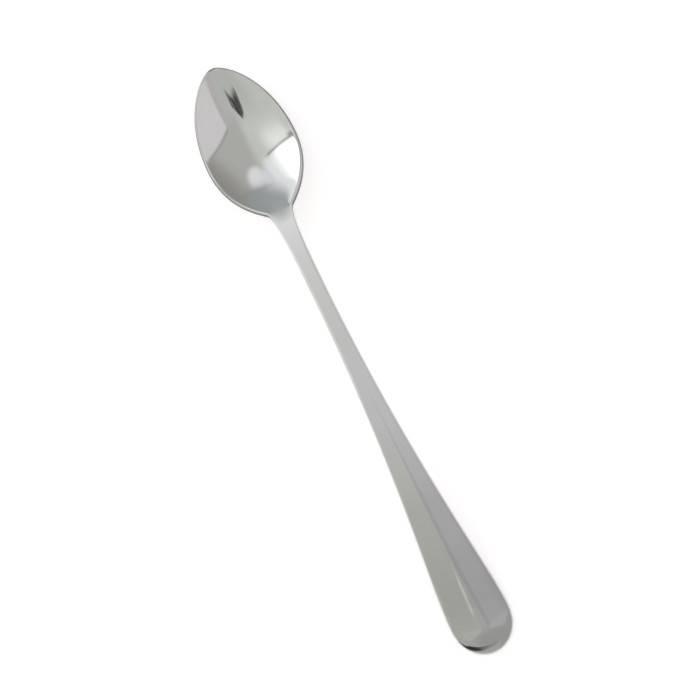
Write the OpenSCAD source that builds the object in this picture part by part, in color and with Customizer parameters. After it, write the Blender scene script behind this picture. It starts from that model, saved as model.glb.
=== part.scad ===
// Iced tea spoon, stamped in one piece from stainless steel sheet.
// All lengths are millimetres. +Y points along the spoon to the bowl's tip, +Z is up, and the spoon
// lies on a table at Z = 0 on the belly of its bowl and the flat end of its handle. The XY origin is at
// the middle of its length and width.
//
// The spoon is one skin. Its middle surface is a height over the table, worked out from the outline
// seen from above and two lines seen from the side: one along the rim and one along the middle. The
// sheet's thickness is then laid off square to that surface on both sides, and a rounded edge closes
// the two faces all the way round.

/* [Overall] */
// Length of the spoon from the bowl's tip to the handle's end
spoon_length = 190; // [178:1:205]

/* [Bowl outline] */
// Width of the bowl where it is widest
bowl_width = 28.4; // [26:0.1:31]
// Distance from the bowl's tip to its widest place
bowl_widest_at = 28; // [26:0.1:31]
// Distance from the bowl's tip to the shoulder, where the outline turns from bowl to neck
shoulder_at = 48.4; // [46:0.1:52]
// Width of the bowl at the shoulder
shoulder_width = 8.1; // [7.4:0.1:9.4]
// Angle between the outline at the shoulder and the spoon's length
shoulder_angle = 45; // [39:1:50]

/* [Stem and handle outline] */
// Distance from the bowl's tip to the narrowest place of the stem
waist_at = 73; // [68:0.5:80]
// Width of the stem at its narrowest place
waist_width = 4.8; // [4.2:0.1:5.6]
// Width of the handle where it is widest
handle_width = 18.2; // [16:0.1:20]
// Distance from the handle's end to its widest place
handle_widest_from_end = 10.4; // [9:0.1:12]

/* [Side view] */
// Height of the rim's edge at the bowl's tip, at the middle of the sheet
tip_height = 5.4; // [4.4:0.1:6.4]
// Height of the rim where the bowl is widest
rim_height = 6; // [5.4:0.1:7.2]
// Distance from the bowl's tip to the lowest place of its floor
floor_at = 22; // [20:0.5:25]
// Distance from the bowl's tip to the place where the hollow runs out into the stem
hollow_end_at = 53.5; // [52:0.5:58]
// Height of the stem where the hollow runs out
neck_height = 9.3; // [8.2:0.1:10.4]
// Distance from the bowl's tip to the top of the stem's arch
arch_at = 86; // [78:1:94]
// Height of the stem at the top of its arch
arch_height = 14.2; // [12.5:0.1:16]
// Distance from the handle's end to the place where the handle starts to level off
level_from_end = 16; // [14:0.5:20]
// Height of the handle where it starts to level off
level_height = 2.2; // [2:0.05:2.5]
// Distance from the handle's end to the place from which its underside lies flat on the table
flat_from_end = 7.5; // [6:0.1:9]

/* [Sheet] */
// Thickness of the bowl at its tip
tip_thickness = 0.85; // [0.7:0.05:1.1]
// Thickness of the bowl at its floor
floor_thickness = 1.05; // [0.9:0.05:1.3]
// Thickness of the stem at its narrowest place
stem_thickness = 2.5; // [2.1:0.1:3]
// Thickness of the handle along its panels
handle_thickness = 1.9; // [1.6:0.05:2.3]
// Thickness of the handle along its flat end
end_thickness = 2.3; // [2:0.05:2.7]
// Width of the rounding along the bowl's edge
rim_round = 0.4; // [0.3:0.05:0.5]
// Width of the rounding along the stem's and handle's edges
side_round = 0.85; // [0.5:0.05:1]
// Width of the rounding round the handle's end
end_round = 2.8; // [2:0.1:3.4]

/* [Handle pattern] */
// Distance from the handle's end to the place where the middle rib starts
rib_start_from_end = 93; // [80:1:100]
// Width of the middle rib where it meets the tip cap
rib_width = 4.4; // [3.4:0.1:5.2]
// Width of the flat tongue on top of the rib where it meets the tip cap
tongue_width = 2.2; // [1.4:0.1:2.8]
// Length of that tongue, which narrows to a point along the rib
tongue_length = 20; // [14:0.5:30]
// Length of the plain cap at the handle's end
cap_length = 6.8; // [5.5:0.1:8]
// Length of the slope from the cap down to the panels, beside the rib
cap_slope = 1.2; // [0.8:0.1:1.8]
// Length of that slope along the handle's edges
cap_edge_slope = 9; // [6:0.5:12]
// Depth of the two panels below the rib and the cap
panel_depth = 0.25; // [0.15:0.05:0.4]
// How far the handle's top face falls from its middle to its edges
handle_crown = 0.3; // [0:0.05:0.5]

/* [Hidden] */

// Steps along each of the outline's five curves, from the bowl's tip to the handle's end
outline_steps = [18, 14, 12, 30, 20];
// Steps round each rounded corner of the edge
edge_steps = 2;
// Places of the rows of points across the half width, as shares of it
top_shares = [0, 0.05, 0.1, 0.14, 0.18, 0.23, 0.34, 0.5, 0.67, 0.84, 1];
under_shares = [0, 0.25, 0.5, 0.75, 1];

// Lengths of the outline's handles at the bowl's tip and widest place, as shares of their spans
tip_round_share = 0.285;
front_side_share = 0.64;
back_side_share = 0.62;
// Lengths of the outline's handles at the shoulder, before and after it, and at the waist
shoulder_front_share = 0.13;
shoulder_back_share = 0.1;
waist_front_share = 0.3;
waist_back_share = 0.57;
// Lengths of the outline's handles round the handle's end
flare_share = 0.13;
end_side_share = 0.6;
end_round_share = 0.5;

// Slopes of the side view at its named places, as rise over run towards the handle
tip_slope = -0.38;
rim_slope = 0.06;
neck_slope = 0.29;
level_slope = -0.24;
// How much fuller the bowl's cross section is than a parabola
fullness_share = 0.06;
// Height of each rounded corner as a share of the thickness
corner_share = 0.46;
// Width of the rib's point as a share of its full width, and the length over which the panels deepen
// as a share of the rib's length
rib_point_share = 0.1;
panel_fade_share = 0.5;
// Width of the rounding of the rib's crest as a share of the rib's width
crest_share = 0.15;

// Thickness of the neck, between the floor and the stem
neck_thickness = (floor_thickness + stem_thickness) / 2;
// Distances from the bowl's tip to the end's rounding, to the flat, to the place where the handle
// starts to level off and to its widest place
end_at = spoon_length - end_round;
flat_at = spoon_length - flat_from_end;
level_at = spoon_length - level_from_end;
handle_widest_at = spoon_length - handle_widest_from_end;

// Basic curves

// Point on a cubic curve with four control points
function bezier(p, t) =
    pow(1 - t, 3) * p[0] + 3 * pow(1 - t, 2) * t * p[1] + 3 * (1 - t) * t * t * p[2] + pow(t, 3) * p[3];

// Direction of travel on that curve
function bezier_way(p, t) =
    let (
        a = pow(1 - t, 2) * (p[1] - p[0]),
        b = 2 * (1 - t) * t * (p[2] - p[1]),
        c = t * t * (p[3] - p[2])
    ) (a + b + c) / norm(a + b + c);

// Value and slope at d of a smooth line through knots of [place, value, slope]
function smooth_line(knots, d, i = 0) =
    i < len(knots) - 2 && d > knots[i + 1][0] ? smooth_line(knots, d, i + 1) :
    let (
        a = knots[i],
        b = knots[i + 1],
        span = b[0] - a[0],
        t = min(max((d - a[0]) / span, 0), 1),
        rise = b[1] - a[1],
        t2 = t * t,
        t3 = t * t * t
    ) [
        a[1] + rise * (3 * t2 - 2 * t3) + span * (a[2] * (t3 - 2 * t2 + t) + b[2] * (t3 - t2)),
        rise / span * 6 * (t - t2) + a[2] * (3 * t2 - 4 * t + 1) + b[2] * (3 * t2 - 2 * t)
    ];

// Zero below 0, one above 1 and a smooth step between
function smooth_step(t) = let (u = min(max(t, 0), 1)) u * u * (3 - 2 * u);

// Outline seen from above: half width and distance from the bowl's tip

shoulder_way = [sin(shoulder_angle), -cos(shoulder_angle)];
widest_point = [bowl_width / 2, bowl_widest_at];
shoulder_point = [shoulder_width / 2, shoulder_at];
waist_point = [waist_width / 2, waist_at];
flare_point = [handle_width / 2, handle_widest_at];
back_span = shoulder_at - bowl_widest_at;
neck_span = waist_at - shoulder_at;
handle_span = handle_widest_at - waist_at;

outline_curves = [
    [
        [0, 0],
        [tip_round_share * bowl_width / 2, 0],
        widest_point - [0, front_side_share * bowl_widest_at],
        widest_point
    ],
    [
        widest_point,
        widest_point + [0, back_side_share * back_span],
        shoulder_point + shoulder_front_share * back_span * shoulder_way,
        shoulder_point
    ],
    [
        shoulder_point,
        shoulder_point - shoulder_back_share * neck_span * shoulder_way,
        waist_point - [0, waist_front_share * neck_span],
        waist_point
    ],
    [
        waist_point,
        waist_point + [0, waist_back_share * handle_span],
        flare_point - [0, flare_share * handle_span],
        flare_point
    ],
    [
        flare_point,
        flare_point + [0, end_side_share * handle_widest_from_end],
        [end_round_share * handle_width / 2, spoon_length],
        [0, spoon_length]
    ]
];

// Side view: the line of the rim and edges, and the line along the middle

stem_knots = [
    [hollow_end_at, neck_height, neck_slope],
    [arch_at, arch_height, 0],
    [level_at, level_height, level_slope],
    [flat_at, end_thickness / 2, 0]
];
rim_knots = concat([[0, tip_height, 0], [bowl_widest_at, rim_height, rim_slope]], stem_knots);
middle_knots = concat([[0, tip_height, tip_slope], [floor_at, floor_thickness / 2, 0]], stem_knots);

// Sheet thickness and width of the edge's rounding along the spoon
thickness_knots = [
    [0, tip_thickness, 0],
    [floor_at, floor_thickness, 0],
    [shoulder_at, neck_thickness, 0],
    [waist_at, stem_thickness, 0],
    [level_at, handle_thickness, 0],
    [flat_at, end_thickness, 0]
];
round_knots = [
    [0, rim_round, 0],
    [shoulder_at, rim_round, 0],
    [waist_at, side_round, 0],
    [handle_widest_at, side_round, 0],
    [end_at, end_round, 0]
];

// Stations from the bowl's tip to the handle's end. Each holds the half width of the flat part of the
// sheet, its distance from the bowl's tip, the outward way square to the outline, and the half
// width's growth along the spoon as a share of it.
function station(curve, t) =
    let (
        point = bezier(curve, t),
        way = bezier_way(curve, t),
        out = [way[1], -way[0]],
        edge = point - smooth_line(round_knots, point[1])[0] * out
    ) [max(edge[0], 0), edge[1], out, way[1] == 0 || edge[0] <= 0 ? 0 : way[0] / way[1] / edge[0]];

stations = concat(
    [for (c = [0:len(outline_curves) - 1]) for (i = [0:outline_steps[c] - 1])
        station(outline_curves[c], i / outline_steps[c])],
    [station(outline_curves[len(outline_curves) - 1], 1)]
);
last = len(stations) - 1;

// Middle surface

// Height of the middle surface at a share of the half width, and its slopes along X and towards the
// handle. The bowl's section is a parabola made fuller where the bowl is deep, and at the spoon's two
// tips, where the width is zero, the surface has the slope of the middle line.
function middle(st, share) =
    let (
        rim = smooth_line(rim_knots, st[1]),
        mid = smooth_line(middle_knots, st[1]),
        at_tip = st[0] == 0,
        deep = rim[0] - mid[0],
        deeper = rim[1] - mid[1],
        s2 = share * share,
        fuller = fullness_share * deep / (rim_height - floor_thickness / 2),
        dish = (1 - s2) * (1 + fuller * s2),
        dish_way = 2 * share * (fuller * (1 - 2 * s2) - 1),
        width_way = deep * dish_way * share * st[3]
    ) [
        rim[0] - deep * dish,
        at_tip ? 0 : -deep * dish_way / st[0],
        at_tip ? mid[1] : rim[1] - deeper * dish + width_way
    ];

// Point of the middle surface and the way square to it
function middle_point(st, share) = [share * st[0], st[1], middle(st, share)[0]];
function middle_normal(st, share) =
    let (m = middle(st, share), n = [-m[1], -m[2], 1]) n / norm(n);

// Handle pattern: how far the top face lies below the crest of the rib, by the crown of the handle and
// the depth of the panels. Each flank of the rib is steepest beside its narrow crest and fades into
// the panel. Near the cap the crest opens into a flat tongue.

function flank(t) =
    let (
        u = min(t, 1),
        fallen = (norm([u, crest_share]) - crest_share) / (norm([1, crest_share]) - crest_share)
    ) 1 - pow(1 - fallen, 2);

function panel_sink(x, d) =
    let (
        from_end = spoon_length - d,
        along = (rib_start_from_end - from_end) / (rib_start_from_end - cap_length),
        rib_half = rib_width / 2 * max(along, rib_point_share),
        tongue_half = tongue_width / 2 * max(1 - (from_end - cap_length) / tongue_length, 0),
        flat_half = min(tongue_half, tongue_width / 2),
        outward = 2 * x / handle_width,
        slope = cap_slope + (cap_edge_slope - cap_slope) * outward * outward,
        fade = smooth_step(along / panel_fade_share),
        down_from_cap = smooth_step((from_end - cap_length + (slope - cap_slope) / 2) / slope)
    )
    handle_crown * outward * outward * fade
    + panel_depth * fade * flank(max(abs(x) - flat_half, 0) / (rib_half - flat_half)) * down_from_cap;

// Skin

// Heights of the top and under faces from the middle surface
function top_height(st, x) = smooth_line(thickness_knots, st[1])[0] / 2 - panel_sink(x, st[1]);
function under_height(st) = smooth_line(thickness_knots, st[1])[0] / 2;

// Points of one station on the right-hand side, in order over the top face, round the edge and back
// under, with the way along the spoon turned so that the bowl's tip is at +Y
function placed(p) = [p[0], spoon_length / 2 - p[1], p[2]];

function face_point(st, share, height) = placed(middle_point(st, share) + height * middle_normal(st, share));

function edge_point(st, angle, height, corner) =
    let (
        n = middle_normal(st, 1),
        flat_way = [st[2][0], st[2][1], 0],
        out = flat_way - (flat_way * n) * n,
        reach = smooth_line(round_knots, st[1])[0]
    ) placed(
        middle_point(st, 1) + reach * cos(angle) * out / norm(out)
        + (height + corner * sin(angle)) * n
    );

function edge_points(st) =
    let (
        corner = corner_share * 2 * under_height(st),
        high = top_height(st, st[0]) - corner,
        low = corner - under_height(st)
    ) concat(
        [for (i = [edge_steps - 1:-1:0]) edge_point(st, 90 * i / edge_steps, high, corner)],
        [for (i = [0:-1:1 - edge_steps]) edge_point(st, 90 * i / edge_steps, low, corner)]
    );

function right_points(st) = concat(
    [for (s = top_shares) face_point(st, s, top_height(st, s * st[0]))],
    edge_points(st),
    [for (i = [len(under_shares) - 1:-1:0]) face_point(st, under_shares[i], -under_height(st))]
);

// Each station is a closed loop of points. At the two tips the face points fall together, and the
// loop becomes one line of points from the top face round the edge to the under face.
top_count = len(top_shares);
loop_count = 2 * (top_count + 2 * edge_steps + len(under_shares)) - 2;

function mirrored(p) = [-p[0], p[1], p[2]];

function loop_points(st) =
    let (right = right_points(st), count = len(right))
    concat(right, [for (i = [count - 2:-1:1]) mirrored(right[i])]);

module spoon() {
    inner = [for (i = [1:last - 1]) each loop_points(stations[i])];
    tip_row = concat(
        [face_point(stations[0], 0, top_height(stations[0], 0))],
        edge_points(stations[0]),
        [face_point(stations[0], 0, -under_height(stations[0]))]
    );
    end_row = concat(
        [face_point(stations[last], 0, top_height(stations[last], 0))],
        edge_points(stations[last]),
        [face_point(stations[last], 0, -under_height(stations[last]))]
    );
    color([0.78, 0.78, 0.77]) polyhedron(points = concat(inner, tip_row, end_row), faces = skin_faces());
}

// Index of a loop's point, and of the point of a tip's row that it falls on
function at(i, j) = (i - 1) * loop_count + j % loop_count;
function tip_at(base, j) =
    let (
        k = j % loop_count,
        m = k > loop_count / 2 ? loop_count - k : k,
        step = m - top_count + 1
    ) base + min(max(step, 0), 2 * edge_steps + 1);

function skin_faces() =
    let (tip_base = (last - 1) * loop_count, end_base = tip_base + 2 * edge_steps + 2)
    concat(
        [for (i = [1:last - 2]) for (j = [0:loop_count - 1]) each [
            [at(i, j), at(i, j + 1), at(i + 1, j + 1)],
            [at(i, j), at(i + 1, j + 1), at(i + 1, j)]
        ]],
        [for (j = [0:loop_count - 1]) each tip_faces(tip_base, 1, j, false)],
        [for (j = [0:loop_count - 1]) each tip_faces(end_base, last - 1, j, true)]
    );

// One or two triangles from a tip's row to the loop beside it
function tip_faces(base, i, j, turned) =
    let (
        a = tip_at(base, j),
        b = tip_at(base, j + 1),
        c = at(i, j + 1),
        d = at(i, j),
        faces = a == b ? [[a, c, d]] : [[a, b, c], [a, c, d]]
    ) turned ? [for (f = faces) [f[2], f[1], f[0]]] : faces;

spoon();
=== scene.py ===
# %% [markdown]
# # An iced tea spoon in polished stainless steel
# The real spoon is one piece of metal. A blank is cut from stainless sheet, rolled thin where the bowl
# will be, pressed between two dies and polished. So this lesson makes one closed mesh, one metal and
# a studio for the metal to mirror, because a polished spoon shows little colour of its own.
#
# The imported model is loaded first. It is the fixed frame: the spoon lies along Y with its bowl's tip
# at +Y, in metres, on a table at Z = 0.

# %% Load the frame
import math

import bpy
import numpy as np
from mathutils import Matrix, Vector


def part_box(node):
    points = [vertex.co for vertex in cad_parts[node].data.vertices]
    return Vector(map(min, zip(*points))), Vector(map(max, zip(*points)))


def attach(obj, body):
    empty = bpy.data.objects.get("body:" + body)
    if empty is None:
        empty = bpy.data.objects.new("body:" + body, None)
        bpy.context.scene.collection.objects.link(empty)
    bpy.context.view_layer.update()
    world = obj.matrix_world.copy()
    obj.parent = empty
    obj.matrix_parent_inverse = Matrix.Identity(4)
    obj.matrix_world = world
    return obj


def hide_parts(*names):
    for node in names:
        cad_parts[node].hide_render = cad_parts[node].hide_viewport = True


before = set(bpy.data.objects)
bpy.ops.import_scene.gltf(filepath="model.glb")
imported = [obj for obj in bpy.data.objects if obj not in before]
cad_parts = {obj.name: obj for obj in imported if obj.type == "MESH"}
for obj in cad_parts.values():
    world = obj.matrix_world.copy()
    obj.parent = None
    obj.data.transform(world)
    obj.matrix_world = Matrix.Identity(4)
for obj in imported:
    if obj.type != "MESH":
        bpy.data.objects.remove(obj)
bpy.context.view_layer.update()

MM = 0.001
low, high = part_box("spoon")
spoon_length = -2 * low.y / MM
print("spoon %.1f mm long, %.1f mm wide, %.1f mm high" % tuple((high - low)[i] / MM for i in (1, 0, 2)))

# %% [markdown]
# ## The sizes of the spoon
# Everything below is in millimetres and repeats the names of the part's own sizes. A side view and an
# outline seen from above are all that a spoon's maker needs: the press does the rest. Distances called
# `at` run from the bowl's tip towards the handle. The bowl's width, the tip and the arch stay a few
# hundredths of a millimetre inside the part's, because a finer mesh reaches further out on a curve.

# %% Sizes of the outline, the side view and the sheet
bowl_width, bowl_widest_at, tip_inset = 28.39, 28, 0.04
shoulder_width, shoulder_at, shoulder_angle = 8.1, 48.4, 45
waist_width, waist_at = 4.8, 73
handle_width, handle_widest_from_end = 18.2, 10.4
handle_widest_at = spoon_length - handle_widest_from_end

tip_height, tip_slope = 5.4, -0.38
rim_height, rim_slope = 6, 0.06
floor_at = 22
hollow_end_at, neck_height, neck_slope = 53.5, 9.3, 0.29
arch_at, arch_height = 86, 14.19
level_from_end, level_height, level_slope = 16, 2.2, -0.24
flat_from_end = 7.5
level_at, flat_at = spoon_length - level_from_end, spoon_length - flat_from_end

tip_thickness, floor_thickness = 0.85, 1.05
stem_thickness, handle_thickness, end_thickness = 2.5, 1.9, 2.3
rim_round, side_round, end_round = 0.4, 0.85, 2.8
end_at = spoon_length - end_round
print("bowl %.1f mm wide, stem %.1f mm, handle %.1f mm" % (bowl_width, waist_width, handle_width))

# %% [markdown]
# ## The outline
# The blank's outline is what the cutting die leaves. It could be drawn as a Bezier curve object and
# turned into a mesh, but a formula also gives the direction of the edge at each point, which the
# rounded edge needs later. Five cubic curves in a row make half of it: from the bowl's tip to its
# widest place, to the shoulder, to the waist of the stem, to the widest place of the handle and round
# the handle's end. Each is given by its end points and by how far it runs on straight from each of
# them, as a share of the stretch that it spans.

# %% Half of the outline as points and directions
def cubic(points, steps):
    """Points and unit directions along a cubic curve of four points, without its last point."""
    a, b, c, d = (np.array(p, float) for p in points)
    t = (np.arange(steps) / steps)[:, None]
    place = (1 - t) ** 3 * a + 3 * (1 - t) ** 2 * t * b + 3 * (1 - t) * t**2 * c + t**3 * d
    way = (1 - t) ** 2 * (b - a) + 2 * (1 - t) * t * (c - b) + t**2 * (d - c)
    return place, way / np.linalg.norm(way, axis=1)[:, None]


along = np.array((0, 1.0))
turn = math.radians(shoulder_angle)
shoulder_way = np.array((math.sin(turn), -math.cos(turn)))
tip = np.array((0, tip_inset))
widest = np.array((bowl_width / 2, bowl_widest_at))
shoulder = np.array((shoulder_width / 2, shoulder_at))
waist = np.array((waist_width / 2, waist_at))
flare = np.array((handle_width / 2, handle_widest_at))
end = np.array((0, spoon_length))
back_span = shoulder_at - bowl_widest_at
neck_span = waist_at - shoulder_at
handle_span = handle_widest_at - waist_at
end_span = spoon_length - handle_widest_at

tip_round, front_side, back_side = 0.285, 0.64, 0.62
shoulder_front, shoulder_back = 0.13, 0.1
waist_front, waist_back = 0.3, 0.57
flare_side, end_side, end_turn = 0.13, 0.6, 0.5

outline_curves = [
    (tip, (tip_round * widest[0], 0), widest - front_side * bowl_widest_at * along, widest),
    (widest, widest + back_side * back_span * along, shoulder + shoulder_front * back_span * shoulder_way,
     shoulder),
    (shoulder, shoulder - shoulder_back * neck_span * shoulder_way, waist - waist_front * neck_span * along,
     waist),
    (waist, waist + waist_back * handle_span * along, flare - flare_side * handle_span * along, flare),
    (flare, flare + end_side * end_span * along, (end_turn * flare[0], spoon_length), end),
]
outline_steps = (70, 44, 36, 110, 70)
stretches = [cubic(c, n) for c, n in zip(outline_curves, outline_steps)]
outline = np.vstack([places for places, _ in stretches] + [end])
ways = np.vstack([directions for _, directions in stretches] + [(-1, 0)])
print("outline: %d points, %.1f mm along the edge" % (
    len(outline), np.linalg.norm(np.diff(outline, axis=0), axis=1).sum()))

# %% [markdown]
# ## The side view
# Seen from the side, the spoon is two lines: one along the rim of the bowl and one along its middle.
# Behind the bowl they are one line, which rises over the arch of the stem and comes down to the flat
# end of the handle. Each line is smooth between knots of a place, a height and a slope, so the knots
# are the few heights that a maker would measure.

# %% Smooth lines through knots
def smooth_line(knots, place):
    """Value and slope at each place of a smooth line through knots of (place, value, slope)."""
    knots = np.array(knots, float)
    first = np.clip(np.searchsorted(knots[:, 0], place) - 1, 0, len(knots) - 2)
    (at_a, a, slope_a), (at_b, b, slope_b) = knots[first].T, knots[first + 1].T
    span, rise = at_b - at_a, b - a
    t = np.clip((place - at_a) / span, 0, 1)
    value = a + rise * (3 * t**2 - 2 * t**3)
    value += span * (slope_a * (t**3 - 2 * t**2 + t) + slope_b * (t**3 - t**2))
    slope = rise / span * 6 * (t - t**2) + slope_a * (3 * t**2 - 4 * t + 1) + slope_b * (3 * t**2 - 2 * t)
    return value, slope


stem_knots = [
    (hollow_end_at, neck_height, neck_slope),
    (arch_at, arch_height, 0),
    (level_at, level_height, level_slope),
    (flat_at, end_thickness / 2, 0),
]
rim_knots = [(0, tip_height, 0), (bowl_widest_at, rim_height, rim_slope)] + stem_knots
middle_knots = [(0, tip_height, tip_slope), (floor_at, floor_thickness / 2, 0)] + stem_knots
thickness_knots = [
    (0, tip_thickness, 0),
    (floor_at, floor_thickness, 0),
    (shoulder_at, (floor_thickness + stem_thickness) / 2, 0),
    (waist_at, stem_thickness, 0),
    (level_at, handle_thickness, 0),
    (flat_at, end_thickness, 0),
]
round_knots = [
    (0, rim_round, 0),
    (shoulder_at, rim_round, 0),
    (waist_at, side_round, 0),
    (handle_widest_at, side_round, 0),
    (end_at, end_round, 0),
]
rim_at_floor = smooth_line(rim_knots, np.array([floor_at]))[0][0]
print("bowl %.1f mm deep, stem's arch %.1f mm up" % (rim_at_floor - floor_thickness / 2, arch_height))

# %% [markdown]
# ## The pressed sheet
# The dies leave the sheet as one surface that dips into a bowl. At each place along the spoon its
# section is a parabola, made a little fuller where the bowl is deep, as a punch with a rounded nose
# leaves it. A surface this regular is quicker and smoother from a formula than from a sculpted or
# subdivided mesh, and a mirror shows every bump of a mesh. The formula also gives the exact normal,
# along which half of the thickness is laid off on each side.

# %% Middle surface of the sheet
fullness = 0.06
out_ways = np.stack([ways[:, 1], -ways[:, 0]], axis=1)
reach = smooth_line(round_knots, outline[:, 1])[0]
flat_edge = outline - reach[:, None] * out_ways
at_tip = np.zeros(len(outline), bool)
at_tip[[0, -1]] = True
half_width = np.where(at_tip, 0, flat_edge[:, 0])
station = flat_edge[:, 1]
growth = np.where(at_tip, 0, ways[:, 0] / np.where(at_tip, 1, ways[:, 1]))
thickness = smooth_line(thickness_knots, station)[0]


def middle_surface(shares):
    """Points of the sheet's middle surface at shares of the half width, and the normals there."""
    shares = np.asarray(shares, float)[None, :]
    rim, rim_way = (line[:, None] for line in smooth_line(rim_knots, station))
    mid, mid_way = (line[:, None] for line in smooth_line(middle_knots, station))
    tips = at_tip[:, None]
    wide = np.where(tips, 1, half_width[:, None])
    deep = rim - mid
    fuller = fullness * deep / (rim_height - floor_thickness / 2)
    dish = (1 - shares**2) * (1 + fuller * shares**2)
    dish_way = 2 * shares * (fuller * (1 - 2 * shares**2) - 1)
    across = np.where(tips, 0, -deep * dish_way / wide)
    down = rim_way - (rim_way - mid_way) * dish + deep * dish_way * shares * growth[:, None] / wide
    down = np.where(tips, mid_way, down)
    points = np.stack([shares * half_width[:, None], station[:, None] + 0 * shares, rim - deep * dish], -1)
    normals = np.stack([-across, -down, np.ones_like(down)], -1)
    return points, normals / np.linalg.norm(normals, axis=-1, keepdims=True)


print("sheet %.2f to %.2f mm thick" % (thickness.min(), thickness.max()))

# %% [markdown]
# ## The pattern on the handle
# The die also presses two shallow panels into the handle's top face. They leave a rib along the
# middle, which starts as a hairline and widens to the plain cap at the end. Bump shading could draw
# this, but the rib catches the light along its flank and shows from the side, so it is real depth.

# %% Depth of the panels beside the rib
rib_start_from_end, rib_width, rib_point, crest = 93, 4.4, 0.1, 0.15
tongue_width, tongue_length = 2.2, 20
cap_length, cap_slope, cap_edge_slope = 6.8, 1.2, 9
panel_depth, panel_fade, handle_crown = 0.25, 0.5, 0.3


def smooth_step(t):
    """Zero below 0, one above 1 and a smooth step between."""
    t = np.clip(t, 0, 1)
    return t * t * (3 - 2 * t)


def flank(t):
    """Zero at the rib's crest and one at its foot, steepest beside the narrow crest."""
    u = np.clip(t, 0, 1)
    fallen = (np.hypot(u, crest) - crest) / (math.hypot(1, crest) - crest)
    return 1 - (1 - fallen) ** 2


def panel_sink(x, place):
    """How far the top face lies below the crest of the rib."""
    from_end = spoon_length - place
    along_rib = (rib_start_from_end - from_end) / (rib_start_from_end - cap_length)
    rib_half = rib_width / 2 * np.maximum(along_rib, rib_point)
    flat_half = tongue_width / 2 * np.clip(1 - (from_end - cap_length) / tongue_length, 0, 1)
    from_flat = np.maximum(np.abs(x) - flat_half, 0) / (rib_half - flat_half)
    outward = 2 * x / handle_width
    slope = cap_slope + (cap_edge_slope - cap_slope) * outward**2
    down_from_cap = smooth_step((from_end - cap_length + (slope - cap_slope) / 2) / slope)
    fade = smooth_step(along_rib / panel_fade)
    return fade * (handle_crown * outward**2 + panel_depth * flank(from_flat) * down_from_cap)


print("panels %.2f mm deep beside a rib %.1f mm wide" % (panel_depth, rib_width))

# %% [markdown]
# ## The two faces
# Half of each section is a row of points: over the top face, round the edge and back under. The rows
# are closer together near the rib, where the form is finest. A Solidify modifier could make nearly the
# same faces from the middle surface, but not a sheet that changes thickness.

# %% Top face and underside
rib_share, rib_steps, dish_steps, under_steps = 0.24, 16, 24, 16
near_rib = np.linspace(0, rib_share, rib_steps + 1)[:-1]
top_shares = np.concatenate([near_rib, np.linspace(rib_share, 1, dish_steps + 1)])
under_shares = np.linspace(1, 0, under_steps + 1)

middle, normal = middle_surface(top_shares)
rise = thickness[:, None] / 2 - panel_sink(middle[..., 0], middle[..., 1])
top_face = middle + rise[..., None] * normal
under_middle, under_normal = middle_surface(under_shares)
under_face = under_middle - thickness[:, None, None] / 2 * under_normal
print("%d sections, %d points over and %d under" % (len(outline), len(top_shares), len(under_shares)))

# %% [markdown]
# ## The rounded edge
# The tumbler and the polishing wheel round the edge. It is a quarter of an ellipse above and one below,
# with a short flat between them. A Bevel modifier gives the same round everywhere, but on a spoon it is
# tight at the bowl's rim and full at the handle's end.

# %% Edge of the skin
def placed(points):
    """Turns points so that the bowl's tip is at +Y and the middle of the length is at Y = 0."""
    x, place, z = np.moveaxis(points, -1, 0)
    return np.stack([x, spoon_length / 2 - place, z], -1)


corner_share, edge_steps = 0.46, 7
rim_point, rim_normal = middle[:, -1], normal[:, -1]
flat_way = np.column_stack([out_ways, np.zeros(len(out_ways))])
out = flat_way - (flat_way * rim_normal).sum(1)[:, None] * rim_normal
out /= np.linalg.norm(out, axis=1)[:, None]
corner = corner_share * thickness
angles = np.linspace(math.pi / 2, -math.pi / 2, 2 * edge_steps + 1)[1:-1]
centre = np.where(angles[None, :] >= 0, (rise[:, -1] - corner)[:, None], (corner - thickness / 2)[:, None])
height = centre + corner[:, None] * np.sin(angles)
edge = rim_point[:, None] + (reach[:, None] * np.cos(angles))[..., None] * out[:, None]
edge += height[..., None] * rim_normal[:, None]
half = placed(np.concatenate([top_face, edge, under_face], axis=1))
print("skin: %d sections of %d points a side" % half.shape[:2])

# %% [markdown]
# ## Where the edge was ground, and the shade painted on it
# The press shears the blank. Its edge is ground smooth afterwards and never gets the full polish. The
# mesh carries this as a share from 0 to 1 at each point, so the metal can look it up. There the metal is
# rougher, and its colour is a darker grey that is painted shade, for the dark line that the rim mirrors.
# It is full on the outer part of the bowl's edge, less than half along the stem and the handle, and fades
# out before the handle's end, which is polished all round.

# %% Share of grinding and of painted edge shade at each point
neck_fade, side_share = 12, 0.45
end_fade, end_fade_from_end = 8, 16
above_starts, above_full = 42, 6
below_starts, below_full = -75, -30

edge_angles = np.degrees(angles)
round_the_edge = smooth_step((above_starts - edge_angles) / (above_starts - above_full))
round_the_edge *= smooth_step((edge_angles - below_starts) / (below_full - below_starts))
across_skin = np.concatenate([0 * top_shares, round_the_edge, 0 * under_shares])
along_skin = 1 - (1 - side_share) * smooth_step((outline[:, 1] - shoulder_at) / neck_fade)
along_skin *= 1 - smooth_step((outline[:, 1] - (spoon_length - end_fade_from_end)) / end_fade)
# The same share gives the rougher polish and the painted shade of the edge.
grinding_and_shade_share = along_skin[:, None] * across_skin
print("ground edge: full on the first %.1f mm, then %.0f %%" % (shoulder_at, 100 * side_share))

# %% [markdown]
# ## From rows of points to one closed mesh
# Each section is mirrored into a loop, and neighbouring loops are joined by quads. At the two tips the
# width is zero: the faces' points fall together there, and triangles close the fan. `from_pydata`
# takes the points and faces, and smooth shading lets the normals run on across every edge.

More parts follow.
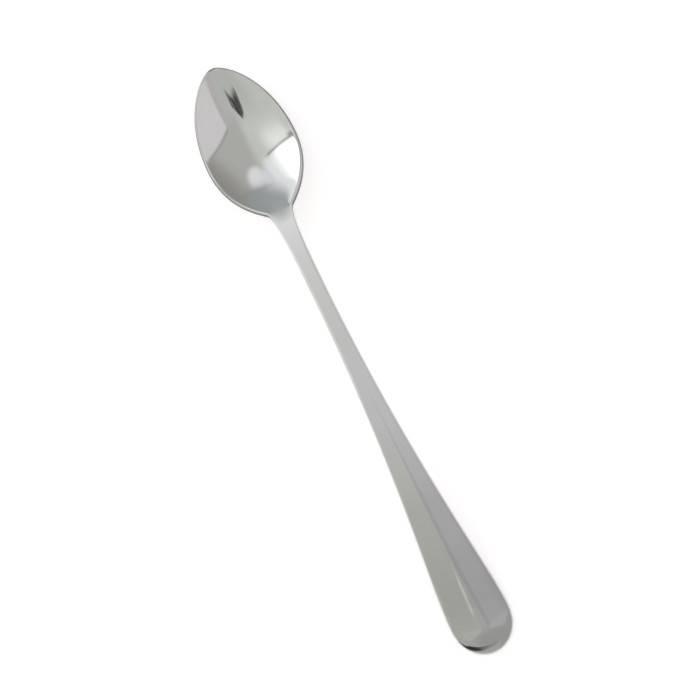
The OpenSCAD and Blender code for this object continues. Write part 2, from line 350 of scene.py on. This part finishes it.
# %% The spoon's mesh
def spoon_mesh(name):
    """One closed mesh of the spoon, in metres."""
    rows = half.shape[1]
    loop = 2 * rows - 2
    loops = np.concatenate([half, half[:, -2:0:-1] * (-1, 1, 1)], axis=1)
    index = np.arange(len(loops))[:, None] * loop + np.arange(loop)
    folded = np.minimum(np.arange(loop), loop - np.arange(loop))
    folded = np.clip(folded, len(top_shares) - 1, rows - len(under_shares))
    for row in (0, -1):
        index[row] = index[row][folded]
    faces = []
    for a, b in zip(index[:-1], index[1:]):
        for quad in zip(a, np.roll(a, -1), np.roll(b, -1), b):
            corners = list(dict.fromkeys(int(i) for i in quad))
            if len(corners) > 2:
                faces.append(corners)
    mesh = bpy.data.meshes.new(name)
    used, faces_flat = np.unique([i for f in faces for i in f], return_inverse=True)
    counts = np.cumsum([len(f) for f in faces])[:-1]
    renumbered = [part.tolist() for part in np.split(faces_flat, counts)]
    mesh.from_pydata((loops.reshape(-1, 3)[used] * MM).tolist(), [], renumbered)
    # The share of grinding also carries the painted shade of the edge.
    grinding_and_shade = mesh.attributes.new("grinding_and_shaded_edge", "FLOAT", "POINT")
    grinding_and_shade_loops = np.concatenate([grinding_and_shade_share, grinding_and_shade_share[:, -2:0:-1]], axis=1)
    grinding_and_shade.data.foreach_set("value", grinding_and_shade_loops.reshape(-1)[used].astype(np.float32))
    mesh.validate()
    mesh.shade_smooth()
    return mesh


spoon = bpy.data.objects.new("spoon_skin", spoon_mesh("spoon_skin"))
bpy.context.scene.collection.objects.link(spoon)
print("mesh: %d points, %d faces" % (len(spoon.data.vertices), len(spoon.data.polygons)))

# %% [markdown]
# ## Colours and nodes
# Colours are written as a painter's hex values, which are made for the screen, and shaders work in
# linear light. One function turns one into the other. Another adds a node with its settings and
# connects it, so that each material below reads as a list of what feeds what. A third lays one colour
# over another. Its Mix node has sockets of the same name for numbers and for colours, so the colours
# are called by their number.

# %% Helpers for materials
MIX_UNDER, MIX_OVER, MIX_COLOUR = 6, 7, 2


def linear(hex_colour):
    """RGBA in linear light of an sRGB hex colour."""
    parts = [int(hex_colour[i : i + 2], 16) / 255 for i in (1, 3, 5)]
    return tuple(p / 12.92 if p <= 0.04045 else ((p + 0.055) / 1.055) ** 2.4 for p in parts) + (1.0,)


def add_node(tree, kind, inputs=None, **settings):
    """Adds a shader node. Each input is a value, or a socket that is linked to it."""
    made = tree.nodes.new("ShaderNode" + kind)
    for name, value in settings.items():
        setattr(made, name, value)
    for key, value in (inputs or {}).items():
        if isinstance(value, bpy.types.NodeSocket):
            tree.links.new(value, made.inputs[key])
        else:
            made.inputs[key].default_value = value
    return made


def lay(tree, under, over, mask):
    """Lays one colour over another where the mask is full."""
    layers = {"Factor": mask, MIX_UNDER: under, MIX_OVER: over}
    return add_node(tree, "Mix", layers, data_type="RGBA").outputs[MIX_COLOUR]


def new_material(name):
    """A material without nodes, and its empty tree."""
    made = bpy.data.materials.new(name)
    made.use_nodes = True
    made.node_tree.nodes.clear()
    return made, made.node_tree


# %% [markdown]
# ## Stainless steel, mirror polished
# Cutlery is 18/10 or 18/0 stainless, polished with finer and finer grit along its length. The chrome
# makes it a little warm and grey next to silver. What the eye sees is a mirror that is not quite
# perfect: a tint that drifts a little, very fine lines left by the wheel, soft wipe marks, a few
# hairline scratches from the drawer and a duller ground edge, whose darker grey is painted shade for the
# dark line along the rim. Each of them is a function that adds its nodes and returns one socket.

# %% Tint of the steel and the painted shade on its ground edge
# The edge's grey is painted shade: a darker metal colour for the dark line along the rim.
metal_colour, cloud_colour, edge_shade_colour = "#cccbca", "#cacac7", "#777776"
cloud_size, cloud_detail = 32, 2


def steel_tint(tree, place, grinding_and_shade):
    """Steel whose tint drifts in wide clouds, and painted shade that greys the duller edge."""
    cloud = add_node(tree, "TexNoise", {"Vector": place, "Scale": 1 / cloud_size, "Detail": cloud_detail})
    tint = lay(tree, linear(cloud_colour), linear(metal_colour), cloud.outputs["Fac"])
    return lay(tree, tint, linear(edge_shade_colour), grinding_and_shade)


# %% [markdown]
# ## Polishing lines
# The real lines are about 0.02 mm apart, too fine for the picture, so they are drawn 0.3 mm apart and
# very shallow. They tilt the surface, so they are bump, from a noise that is stretched along the spoon.

# %% Fine lines along the spoon
line_gap, line_length, line_detail = 0.3, 25, 3
line_depth, line_strength = 0.01 * MM, 0.05


def polishing_lines(tree, place):
    """Normal that the wheel's fine lines tilt."""
    scale = (1 / line_gap, 1 / line_length, 1 / line_gap)
    stretched = add_node(tree, "Mapping", {"Vector": place, "Scale": scale}).outputs[0]
    lines = add_node(tree, "TexNoise", {"Vector": stretched, "Scale": 1, "Detail": line_detail})
    relief = {"Height": lines.outputs["Fac"], "Strength": line_strength, "Distance": line_depth}
    return add_node(tree, "Bump", relief).outputs["Normal"]


# %% [markdown]
# ## Wipe marks and scratches
# A cloth and a drawer leave marks that only dull the mirror, so they change the roughness. The
# scratches are the edges of long Voronoi cells. The noise of the wipe marks hides most of them, so that
# they come in a few groups. The ground edge is rougher than all of these.

# %% Roughness of the polish and the ground edge
wipe_size, wipe_detail = 9, 4
wipe_starts, wipe_full, polish_roughness, wiped_roughness = 0.35, 0.7, 0.05, 0.085
scratch_gap, scratch_width, scratch_angle, scratch_stretch = 5, 0.06, 14, 0.16
scratch_starts, scratch_full, scratch_roughness = 0.5, 0.62, 0.05
ground_roughness = 0.12


def worn_roughness(tree, place, grinding_and_shade):
    """Roughness of the polish, more in wipe marks, in scratches and on the ground edge."""
    wipes = add_node(tree, "TexNoise", {"Vector": place, "Scale": 1 / wipe_size, "Detail": wipe_detail})
    wipes = wipes.outputs["Fac"]
    wiped = add_node(tree, "MapRange", {
        "Value": wipes, "From Min": wipe_starts, "From Max": wipe_full,
        "To Min": polish_roughness, "To Max": wiped_roughness,
    }).outputs[0]
    turned = add_node(tree, "Mapping", {
        "Vector": place, "Rotation": (0, 0, math.radians(scratch_angle)), "Scale": (1, scratch_stretch, 1),
    }).outputs[0]
    cells = {"Vector": turned, "Scale": 1 / scratch_gap}
    cracks = add_node(tree, "TexVoronoi", cells, feature="DISTANCE_TO_EDGE").outputs["Distance"]
    scratch = add_node(tree, "MapRange", {
        "Value": cracks, "From Min": 0, "From Max": scratch_width / scratch_gap, "To Min": 1, "To Max": 0,
    }).outputs[0]
    some = add_node(tree, "MapRange", {
        "Value": wipes, "From Min": scratch_starts, "From Max": scratch_full,
        "To Min": 0, "To Max": scratch_roughness,
    }).outputs[0]
    scratched = add_node(tree, "Math", {0: scratch, 1: some}, operation="MULTIPLY").outputs[0]
    worn = add_node(tree, "Math", {0: wiped, 1: scratched}, operation="ADD").outputs[0]
    duller = add_node(tree, "Math", {0: grinding_and_shade, 1: ground_roughness}, operation="MULTIPLY").outputs[0]
    return add_node(tree, "Math", {0: worn, 1: duller}, operation="ADD").outputs[0]


# %% [markdown]
# ## The metal on the spoon
# A metal in the Principled shader is its colour, a metallic value of 1 and its roughness. The patterns
# follow the object's own coordinates, in millimetres, so they stay on the metal when it moves.

# %% Polished stainless steel
def polished_stainless():
    """Mirror-polished stainless steel with a duller edge, darkened by painted shade."""
    made, tree = new_material("polished_stainless")
    place = add_node(tree, "TexCoord").outputs["Object"]
    place = add_node(tree, "VectorMath", {0: place, 1: (1 / MM,) * 3}, operation="MULTIPLY").outputs[0]
    # Share of grinding: a rougher edge, and a darker one as painted shade.
    grinding_and_shade = add_node(tree, "Attribute", attribute_name="grinding_and_shaded_edge").outputs["Fac"]
    shader = add_node(tree, "BsdfPrincipled", {
        "Base Color": steel_tint(tree, place, grinding_and_shade),
        "Metallic": 1.0,
        "Roughness": worn_roughness(tree, place, grinding_and_shade),
        "Normal": polishing_lines(tree, place),
    })
    add_node(tree, "OutputMaterial", {"Surface": shader.outputs[0]})
    print("polished stainless: %d nodes" % len(tree.nodes))
    return made


spoon.data.materials.append(polished_stainless())
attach(spoon, "root")
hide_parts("spoon")

# %% [markdown]
# ## The table
# A white table, large enough to fill every view. It is lit like anything else, so the spoon keeps its
# shadow, and for the camera and for mirrors it also glows a little, which takes the lit part up to
# white without putting more light on the metal.

# %% A white table
table_size, table_drop = 6000, 0.1
table_colour, glow_colour, glow_strength = "#efefed", "#fffaff", 0.42


def table_top():
    """Matt white table top that reads as white where it is lit."""
    made, tree = new_material("white_table")
    rays = add_node(tree, "LightPath").outputs
    seen = rays["Is Camera Ray"]
    for ray in ("Is Glossy Ray", "Is Transmission Ray"):
        seen = add_node(tree, "Math", {0: seen, 1: rays[ray]}, operation="MAXIMUM").outputs[0]
    matt = add_node(tree, "BsdfDiffuse", {"Color": linear(table_colour)})
    glow = add_node(tree, "Emission", {"Color": linear(glow_colour), "Strength": glow_strength})
    glow_seen = add_node(tree, "MixShader", {0: seen, 2: glow.outputs[0]})
    both = add_node(tree, "AddShader", {0: matt.outputs[0], 1: glow_seen.outputs[0]})
    add_node(tree, "OutputMaterial", {"Surface": both.outputs[0]})
    return made


def level_sheet(name, low_and_high, height, material):
    """Level rectangle between two corners in mm, which isn't part of the spoon."""
    (x0, y0), (x1, y1) = low_and_high
    corners = [(x0, y0, height), (x1, y0, height), (x1, y1, height), (x0, y1, height)]
    mesh = bpy.data.meshes.new(name)
    mesh.from_pydata([tuple(c * MM for c in corner) for corner in corners], [], [(0, 1, 2, 3)])
    mesh.materials.append(material)
    sheet = bpy.data.objects.new(name, mesh)
    bpy.context.scene.collection.objects.link(sheet)
    print("%s: %.0f by %.0f mm, at %.1f mm" % (name, x1 - x0, y1 - y0, height))


table_edge = table_size / 2
table_corners = (-table_edge, -table_edge), (table_edge, table_edge)
level_sheet("table", table_corners, -table_drop, table_top())

# %% [markdown]
# ## The studio that the metal mirrors
# A spoon like this is lit in a tent of pale cloth, and its bowl mirrors the whole tent. The tent is
# painted on the world as a round chart: the middle of the chart is straight up, a point's distance from
# the middle is its angle from straight up, in degrees, and its direction is its compass direction, with
# +Y towards the bowl's tip. A photographed tent would need an image. A chart needs none, and each of
# its panels can be moved until it shows in the right place on the metal.

# %% World chart
world = bpy.data.worlds.new("light_tent")
bpy.context.scene.world = world
world.use_nodes = True
sky = world.node_tree
sky.nodes.clear()

direction = add_node(sky, "TexCoord").outputs["Generated"]
parts = add_node(sky, "SeparateXYZ", {0: direction}).outputs
from_up = add_node(sky, "Math", {0: parts["Z"]}, operation="ARCCOSINE").outputs[0]
from_up = add_node(sky, "Math", {0: from_up}, operation="DEGREES").outputs[0]
level_way = add_node(sky, "CombineXYZ", {"X": parts["X"], "Y": parts["Y"]}).outputs[0]
level_way = add_node(sky, "VectorMath", {0: level_way}, operation="NORMALIZE").outputs[0]
chart = add_node(sky, "VectorMath", {0: level_way, "Scale": from_up}, operation="SCALE").outputs[0]
print("world chart from %d nodes" % len(sky.nodes))

# %% [markdown]
# ## Panels
# Every panel is a colour and an area. An area is bounded by straight edges. An edge is a point on it,
# the way it faces, in degrees from +X, and how soft it is: the panel is full behind the edge, half on
# it and gone in front of it. Colours are written as the metal shows them, so the metal's own colour is
# taken out of them.

# %% Areas and panels
faces_right, faces_tip, faces_left, faces_handle = 0, 90, 180, -90


def mirrored_colour(hex_colour, strength=1.0):
    """Light that the metal mirrors as this colour."""
    return tuple(strength * c / m for c, m in zip(linear(hex_colour)[:3], linear(metal_colour)[:3])) + (1.0,)


def within(tree, place, edges):
    """Mask of what lies behind all of the edges."""
    mask = None
    for (x, y), facing, soft in edges:
        way = (math.cos(math.radians(facing)), math.sin(math.radians(facing)), 0)
        out = add_node(tree, "VectorMath", {0: place, 1: way}, operation="DOT_PRODUCT").outputs["Value"]
        edge_at = x * way[0] + y * way[1]
        limits = {"Value": out, "From Min": edge_at + soft, "From Max": edge_at - soft}
        behind = add_node(tree, "MapRange", limits, interpolation_type="SMOOTHSTEP").outputs[0]
        if mask is not None:
            behind = add_node(tree, "Math", {0: mask, 1: behind}, operation="MULTIPLY").outputs[0]
        mask = behind
    return mask


def oval(tree, place, centre, size, soft):
    """Mask of an oval with half lengths along X and Y, soft as a share of them."""
    moved = {"Vector": place, "Location": (*centre, 0), "Scale": (*size, 1)}
    moved = add_node(tree, "Mapping", moved, vector_type="TEXTURE").outputs[0]
    far = add_node(tree, "VectorMath", {0: moved}, operation="LENGTH").outputs["Value"]
    limits = {"Value": far, "From Min": 1 + soft, "From Max": 1 - soft}
    return add_node(tree, "MapRange", limits, interpolation_type="SMOOTHSTEP").outputs[0]


def hang(light, panels):
    """Hangs panels in the tent and returns the light that it then gives."""
    for hex_colour, *edges in panels.values():
        light = lay(sky, light, mirrored_colour(hex_colour), within(sky, chart, edges))
    print("in the tent: " + ", ".join(panels))
    return light


# %% [markdown]
# ## Walls and lamps of the tent
# The bowl is a concave mirror, so it shows the tent turned round: what stands at the right of the tent
# shows at the left of the bowl, and what stands beyond its tip shows at its neck. The walls are nearly
# one grey. Beyond the tip, about halfway up, three lamps shine through the cloth as soft ovals.

# %% Walls and lamps
walls = {
    "wall on the handle's side": ("#aeb0ab", ((0, -2), faces_tip, 8)),
    "its far left": ("#b8b9b4", ((0, 2), faces_tip, 8), ((-50, 0), faces_right, 12)),
    "wall at the left of the tip": ("#bdbfba", ((0, -2), faces_handle, 14), ((-2, 0), faces_right, 8)),
    "wall at the right": ("#aeabab", ((0, 2), faces_tip, 6), ((15, 0), faces_left, 4)),
    "cloth that the window lights": (
        "#e0e1dd", ((0, 19), faces_handle, 14), ((-28, 0), faces_right, 14), ((-66, 0), faces_left, 8),
    ),
}
lamps = {
    "left lamp": ("#dcdee0", (-18.5, 51), (10.5, 7.5), 0.5),
    "middle lamp": ("#ced0d3", (-4, 53), (7, 3), 0.6),
    "right lamp": ("#d6d5d8", (9, 51), (10, 5), 0.5),
}
light = hang(mirrored_colour("#a8a8a5"), walls)
for hex_colour, centre, size, soft in lamps.values():
    light = lay(sky, light, mirrored_colour(hex_colour), oval(sky, chart, centre, size, soft))
print("shining through: " + ", ".join(lamps))

# %% [markdown]
# ## The window and what stands low beyond the tip
# A window stands at the left, the one thing in the tent that is brighter than white. Low beyond the
# bowl's tip the tent is dark, and darkest at the right: the neck and the bowl's lower left side show it.

# %% Window and dark front
window_faces, window_strength = -76.5, 1.3
window = [((-38, 38.6), window_faces, 1.5), ((-29.5, 0), faces_right, 13), ((-31, 62), 49, 3)]
front = {
    "grey beyond the tip": ("#95999b", ((5, 55.3), -95, 0.8), ((-9, 0), faces_left, 3)),
    "darker grey below it": ("#8e9294", ((0, 59), faces_handle, 1.5), ((-12, 0), faces_left, 4)),
    "dark right side": ("#888682", ((40, 42.3), -130.5, 11)),
    "low at the right": ("#b6b8b7", ((0, 71), faces_handle, 4), ((15, 0), faces_left, 8)),
    "low at the left": ("#b2b4b4", ((0, 65.5), faces_handle, 1.5), ((-22, 0), faces_right, 4)),
}
light = lay(sky, light, mirrored_colour("#ffffff", window_strength), within(sky, chart, window))
light = hang(light, front)

# %% [markdown]
# ## Narrow things and the horizon
# A dark bar runs along the window's foot and is thicker at its outer end. At the right hangs a paler
# panel with a dark edge. Near the horizon all turns pale, like the table that the tent stands on.

# %% Bar, side panel and horizon
bar_faces, panel_faces = window_faces + 180, -69
horizon_starts, horizon_full = 74, 86
narrow = {
    "bar under the window": (
        "#868783", ((-38, 37), window_faces, 0.7), ((-38, 38.6), bar_faces, 0.7), ((-18, 0), faces_right, 5),
    ),
    "its thick end": (
        "#8a8b88", ((-66, 28.6), window_faces, 1.2), ((-66, 31.5), bar_faces, 1), ((-61, 30), 40, 3),
    ),
    "edge of the side panel": (
        "#999893", ((38, 8), panel_faces, 1.5), ((38, 11.5), panel_faces + 180, 1), ((22, 0), faces_left, 2),
    ),
    "side panel": (
        "#c6c3c4", ((24.5, -3), -164, 2), ((38, 8.7), panel_faces + 180, 1.5), ((31, -23), -139, 6),
    ),
}
light = hang(light, narrow)
limits = {"Value": from_up, "From Min": horizon_starts, "From Max": horizon_full}
horizon = add_node(sky, "MapRange", limits, interpolation_type="SMOOTHSTEP").outputs[0]
light = lay(sky, light, mirrored_colour("#d2d2d0"), horizon)
add_node(sky, "OutputWorld", {"Surface": add_node(sky, "Background", {"Color": light}).outputs[0]})

# %% [markdown]
# ## Cards near the spoon
# A tent far away gives the whole handle one tone, because the handle is nearly straight. In the
# photograph it grows darker towards its end and from left to right, so something stood near: a grey
# card over the handle, a narrower one close over the stem and a small one with a dark slit at the
# handle's end. The last card is dark and stands for the hole that the camera looks through. A
# photographer would hang them where the camera can't see them. Here they show to mirrors only, through
# the Light Path node, and cast no shadow.

# %% Cards that only mirrors see
def mirror_card(name, low_and_high, height, paint):
    """Level card between two corners, painted by a function of its tree and its place in mm."""
    made, tree = new_material(name)
    place = add_node(tree, "TexCoord").outputs["Object"]
    place = add_node(tree, "VectorMath", {0: place, 1: (1 / MM, 1 / MM, 0)}, operation="MULTIPLY").outputs[0]
    colour, mask = paint(tree, place)
    glossy = add_node(tree, "LightPath").outputs["Is Glossy Ray"]
    shown = add_node(tree, "Math", {0: glossy, 1: mask}, operation="MULTIPLY").outputs[0]
    clear = add_node(tree, "BsdfTransparent").outputs[0]
    glow = add_node(tree, "Emission", {"Color": colour}).outputs[0]
    mixed = add_node(tree, "MixShader", {0: shown, 1: clear, 2: glow}).outputs[0]
    add_node(tree, "OutputMaterial", {"Surface": mixed})
    level_sheet(name, low_and_high, height, made)


def tone_along(tree, place, tones):
    """Grey that changes along Y. Each tone is a place in mm and a colour, from the handle's end on."""
    first, last = tones[0][0], tones[-1][0]
    y = add_node(tree, "SeparateXYZ", {0: place}).outputs["Y"]
    share = add_node(tree, "MapRange", {"Value": y, "From Min": first, "From Max": last}).outputs[0]
    ramp = add_node(tree, "ValToRGB", {"Fac": share})
    stops = ramp.color_ramp.elements
    for where, _ in tones[1:-1]:
        stops.new((where - first) / (last - first))
    for stop, (_, hex_colour) in zip(stops, tones):
        stop.color = mirrored_colour(hex_colour)
    return ramp.outputs[0]


# %% [markdown]
# ## The card over the handle
# The handle mirrors one wide card that hangs 60 mm up. It darkens towards the handle's end. Its left
# is a little warmer and its right is darker, so the rib's two sides show two tones, and it has a paler
# spot at the left of the handle's end.

# %% Card over the handle
handle_card_corners, handle_card_height = ((-170, -190), (170, 20)), 60
handle_tones = [(-105, "#9b9b9b"), (-87, "#9e9e9e"), (-76, "#a3a3a3"), (-63, "#a4a4a4"), (-53, "#ababab"),
                (-40, "#b1b1b1"), (-28, "#b8b8b8"), (0, "#bcbcbc")]
warm_light, dim_light = (1.045, 1.045, 0.985), 0.89
warm_side = [((-1, 0), faces_right, 3), ((0, -43), faces_tip, 8)]
dim_side = [((13, 0), faces_left, 4)]
spot_colour, spot_centre, spot_size, spot_soft = "#b6b6b2", (-38, -98), (13, 8), 0.6
handle_card_edges = [((0, 8), faces_tip, 8), ((0, -170), faces_handle, 12), ((150, 0), faces_right, 12),
                     ((-150, 0), faces_left, 12)]


def paint_handle_card(tree, place):
    """Grey that darkens towards the handle's end, with a warm side, a dim side and a pale spot."""
    colour = tone_along(tree, place, handle_tones)
    warmer = add_node(tree, "VectorMath", {0: colour, 1: warm_light}, operation="MULTIPLY").outputs[0]
    dimmer = add_node(tree, "VectorMath", {0: colour, "Scale": dim_light}, operation="SCALE").outputs[0]
    colour = lay(tree, colour, warmer, within(tree, place, warm_side))
    colour = lay(tree, colour, dimmer, within(tree, place, dim_side))
    spot = oval(tree, place, spot_centre, spot_size, spot_soft)
    colour = lay(tree, colour, mirrored_colour(spot_colour), spot)
    return colour, within(tree, place, handle_card_edges)


mirror_card("handle_card", handle_card_corners, handle_card_height, paint_handle_card)

# %% [markdown]
# ## The card over the stem
# The stem is arched, so it mirrors more of the room than the handle does, and a narrow card close over
# it gives it its tones. The card grows paler towards the bowl and turns dark over the neck. A pale
# strip at its left and a dark one at its right show on the two sides of the stem, and another pair on
# the neck. The card ends just before the bowl would mirror it.

# %% Card over the stem
stem_card_corners, low_card_height = ((-30, -20), (30, 78)), 20
stem_tones = [(-15, "#bcbcbc"), (4, "#bdbdbd"), (26, "#c5c5c4"), (41, "#cdcdcd"), (53, "#d5d5d6"),
              (58, "#b6b8b9"), (62, "#9ea1a2"), (68, "#989c9e")]
stem_strips = {
    "pale left of the stem": ("#d8d8d6", ((-5, 0), faces_right, 2), ((0, 50), faces_tip, 6)),
    "dark right of the stem": ("#b0b0b0", ((5, 0), faces_left, 2), ((0, 50), faces_tip, 6)),
    "dark right of the neck": ("#919595", ((0.5, 0), faces_left, 2), ((0, 66), faces_handle, 3)),
    "pale left of the neck": ("#dcdedf", ((0, 80), -18.4, 2.4), ((0, 69), faces_handle, 2.5)),
}
stem_card_edges = [((0, 77.1), faces_tip, 0.5), ((0, -12), faces_handle, 6), ((26, 0), faces_right, 3),
                   ((-26, 0), faces_left, 3), ((5, 75), 45, 1.5), ((-12, 76), 135, 2)]


def paint_stem_card(tree, place):
    """Grey along the stem and dark at the neck, with strips beside its middle."""
    colour = tone_along(tree, place, stem_tones)
    for hex_colour, *edges in stem_strips.values():
        colour = lay(tree, colour, mirrored_colour(hex_colour), within(tree, place, edges))
    return colour, within(tree, place, stem_card_edges)


mirror_card("stem_card", stem_card_corners, low_card_height, paint_stem_card)

# %% [markdown]
# ## The card at the handle's end
# The handle's rounded end mirrors what stands low behind it: a grey card and, at its left, a dark
# slit, which draws the black line at the end of the photographed handle.

# %% Card at the handle's end
end_card_corners = (-106, -150), (14, -84)
end_grey, end_left_grey, slit_colour = "#939291", "#9e9d9c", "#30302e"
end_left = [((-5, 0), faces_right, 3)]
end_card_edges = [((0, -87.5), faces_tip, 2), ((0, -97), faces_handle, 2.5), ((-18, 0), faces_left, 3),
                  ((9, 0), faces_right, 3)]
slit_edges = [((-20, -94.6), 94.8, 1.2), ((-10, -102), -68.2, 2.5), ((-3.5, 0), faces_right, 8),
              ((-95, 0), faces_left, 10)]


def paint_end_card(tree, place):
    """Mid grey over the handle's end and a dark slit on its left."""
    grey = within(tree, place, end_card_edges)
    slit = within(tree, place, slit_edges)
    left = within(tree, place, end_left)
    colour = lay(tree, mirrored_colour(end_grey), mirrored_colour(end_left_grey), left)
    colour = lay(tree, colour, mirrored_colour(slit_colour), slit)
    return colour, add_node(tree, "Math", {0: grey, 1: slit}, operation="MAXIMUM").outputs[0]


mirror_card("end_card", end_card_corners, low_card_height, paint_end_card)

# %% [markdown]
# ## The camera's hole
# The photographed bowl mirrors something dark and high up, most likely the hole that the camera looks
# through. It shows as a wedge with two prongs and paler streaks, so this card is a wedge with a notch
# in its wide end, streaked by a noise that is ten times longer than wide.

# %% Hole for the camera
hole_card_corners, hole_height = ((-220, -80), (20, 150)), 291
hole_colour, streak_colour = "#3c3c3a", "#7c7c7a"
streak_width, streak_length, streak_starts, streak_full = 17, 170, 0.5, 0.72
left_prong = [((-68, 22), -120, 6)]
right_prong = [((-110, 11), -74, 13)]
hole_edges = [((-22, 40), -12.7, 4), ((-47, 68), 46, 4), ((-116, 60), 145, 6), ((-93, 78), 112, 4)]


def paint_camera_hole(tree, place):
    """Dark wedge with a notch in its wide end and paler streaks."""
    scale = (1 / streak_width, 1 / streak_length, 1)
    strips = add_node(tree, "Mapping", {"Vector": place, "Scale": scale}).outputs[0]
    noise = add_node(tree, "TexNoise", {"Vector": strips, "Scale": 1, "Detail": 1}).outputs["Fac"]
    limits = {"Value": noise, "From Min": streak_starts, "From Max": streak_full}
    streaks = add_node(tree, "MapRange", limits, interpolation_type="SMOOTHSTEP").outputs[0]
    dark = lay(tree, mirrored_colour(hole_colour), mirrored_colour(streak_colour), streaks)
    prongs = {0: within(tree, place, left_prong), 1: within(tree, place, right_prong)}
    prongs = add_node(tree, "Math", prongs, operation="MAXIMUM").outputs[0]
    wedge = within(tree, place, hole_edges)
    return dark, add_node(tree, "Math", {0: prongs, 1: wedge}, operation="MULTIPLY").outputs[0]


mirror_card("camera_hole", hole_card_corners, hole_height, paint_camera_hole)

# %% [markdown]
# ## The camera
# The photograph looks down on the spoon from ten degrees off straight above, from the handle's side,
# through a long lens about 0.75 m away. It is turned so that the bowl lies at the upper left.

# %% Camera
camera_distance = 750 * MM
camera_tilt, camera_side, camera_roll = (math.radians(a) for a in (10, -1, 26.04))
aim = Vector((0.26, 1.99, 0)) * MM
sensor_width, image_width, focal_pixels = 36, 700, 2578

back = Vector((
    -math.sin(camera_side),
    -math.sin(camera_tilt) * math.cos(camera_side),
    math.cos(camera_tilt) * math.cos(camera_side),
))
upright = Vector((0, 1, 0))
upright = (upright - back * upright.dot(back)).normalized()
rightward = upright.cross(back)
image_right = math.cos(camera_roll) * rightward - math.sin(camera_roll) * upright
image_up = math.sin(camera_roll) * rightward + math.cos(camera_roll) * upright

camera_data = bpy.data.cameras.new("camera")
camera_data.sensor_width = sensor_width
camera_data.lens = sensor_width * focal_pixels / image_width
camera_data.clip_start = 10 * MM
camera = bpy.data.objects.new("camera", camera_data)
turned_axes = Matrix((image_right, image_up, back)).transposed().to_4x4()
camera.matrix_world = Matrix.Translation(aim + camera_distance * back) @ turned_axes
bpy.context.scene.collection.objects.link(camera)
bpy.context.scene.camera = camera
bpy.context.scene.view_settings.view_transform = "Standard"
print("camera %.0f mm lens" % camera_data.lens)
